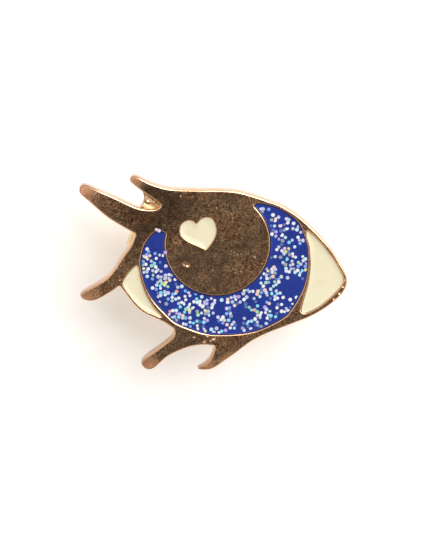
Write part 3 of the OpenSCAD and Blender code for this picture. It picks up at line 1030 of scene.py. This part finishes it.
def floor():
    """White paper under the pin, with a little light of its own."""
    n = Nodes("paper_white")
    n.set(rough=0.9, specular=0.1)
    n.link(n.ramp(n.noise(3, 3), [(0.3, (0.90, 0.893, 0.883)), (0.7, (0.93, 0.923, 0.913))]),
           n.shader.inputs["Base Color"])
    n.shader.inputs["Emission Color"].default_value = (0.27, 0.25, 0.228, 1)
    n.shader.inputs["Emission Strength"].default_value = 1
    n.link(n.bump(n.noise(0.6, 2), 0.01), n.shader.inputs["Normal"])
    mesh = bpy.data.meshes.new("floor")
    half, z = 1.2, FLOOR_Z * MM
    mesh.from_pydata([(-half, -half, z), (half, -half, z), (half, half, z), (-half, half, z)],
                     [], [(0, 1, 2, 3)])
    mesh.materials.append(n.material)
    obj = bpy.data.objects.new("floor", mesh)
    bpy.context.scene.collection.objects.link(obj)


def softbox(name, at, aim, size, power, colour):
    """A rectangular lamp at a place, turned to what it is aimed at."""
    light = bpy.data.lights.new(name, "AREA")
    light.shape = "RECTANGLE"
    light.size, light.size_y = size
    light.energy = power
    light.color = colour
    obj = bpy.data.objects.new(name, light)
    bpy.context.scene.collection.objects.link(obj)
    obj.location = at
    obj.rotation_euler = (Vector(aim) - Vector(at)).to_track_quat("-Z", "Y").to_euler()


# Brightness of the room: first by how near a direction is to where the level face looks, as the cosine of
# the angle between them, then by its upward part in the photograph, from 0 below to 1 above.
ROOM_BY_ANGLE = [
    (0.0, 0.4), (0.22, 0.6), (0.42, 1.2), (0.56, 1.5), (0.70, 1.36), (0.83, 0.95), (0.92, 0.55),
    (0.965, 0.30), (0.985, 0.19), (1.0, 0.145),
]
ROOM_BY_LEAN = [(0.0, 0.15), (0.1, 0.28), (0.17, 0.42), (0.3, 0.54), (0.4, 0.61), (1.0, 0.84)]
ROOM_TINT = (1, 0.965, 0.92)
ROOM_STRENGTH = 1.05


def room_light():
    """Pale walls and a dark place where the level face looks, so edges and bent tips catch the light."""
    world = bpy.data.worlds.new("room")
    bpy.context.scene.world = world
    world.use_nodes = True
    tree = world.node_tree
    background = tree.nodes["Background"]
    direction = tree.nodes.new("ShaderNodeTexCoord").outputs["Generated"]

    toward_mirror = tree.nodes.new("ShaderNodeVectorMath")
    toward_mirror.operation = "DOT_PRODUCT"
    toward_mirror.inputs[1].default_value = Vector((-VIEW_WAY[0], -VIEW_WAY[1], VIEW_WAY[2])).normalized()
    by_angle = tree.nodes.new("ShaderNodeValToRGB")
    set_stops(by_angle, [(at, tuple(grey * t for t in ROOM_TINT)) for at, grey in ROOM_BY_ANGLE])
    tree.links.new(direction, toward_mirror.inputs[0])
    tree.links.new(toward_mirror.outputs["Value"], by_angle.inputs["Fac"])

    split = tree.nodes.new("ShaderNodeSeparateXYZ")
    lean = tree.nodes.new("ShaderNodeMath")
    lean.operation = "MULTIPLY_ADD"
    lean.inputs[1].default_value = 0.5
    lean.inputs[2].default_value = 0.5
    by_lean = tree.nodes.new("ShaderNodeValToRGB")
    set_stops(by_lean, ROOM_BY_LEAN)
    tree.links.new(direction, split.inputs["Vector"])
    tree.links.new(split.outputs["Y"], lean.inputs[0])
    tree.links.new(lean.outputs["Value"], by_lean.inputs["Fac"])

    both = tree.nodes.new("ShaderNodeMixRGB")
    both.blend_type = "MULTIPLY"
    both.inputs["Fac"].default_value = 1
    tree.links.new(by_angle.outputs["Color"], both.inputs["Color1"])
    tree.links.new(by_lean.outputs["Color"], both.inputs["Color2"])
    tree.links.new(both.outputs["Color"], background.inputs["Color"])
    background.inputs["Strength"].default_value = ROOM_STRENGTH


def camera():
    """The photograph's view: nearly square on, from a little above the eye and to its left."""
    away_mm, roll_degrees = 331.48, 0.4
    cam = bpy.data.cameras.new("camera")
    cam.lens = 200
    cam.clip_start, cam.clip_end = 0.01, 20
    obj = bpy.data.objects.new("camera", cam)
    bpy.context.scene.collection.objects.link(obj)
    bpy.context.scene.camera = obj
    aim = Vector((-1.05, -1.64, PLATE_T))
    back = Vector(VIEW_WAY).normalized()
    obj.location = (aim + back * away_mm) * MM
    across = Vector((0, 1, 0)).cross(back).normalized()
    up = back.cross(across)
    level = Matrix((across, up, back)).transposed()
    obj.rotation_euler = (level @ Matrix.Rotation(math.radians(roll_degrees), 3, "Z")).to_euler()


floor()
room_light()
softbox("key", (0.255, 0.31, 0.42), (0, 0, 0), (0.55, 0.45), 3.2, (1.0, 1.0, 1.01))
camera()
bpy.context.scene.view_settings.view_transform = "Standard"
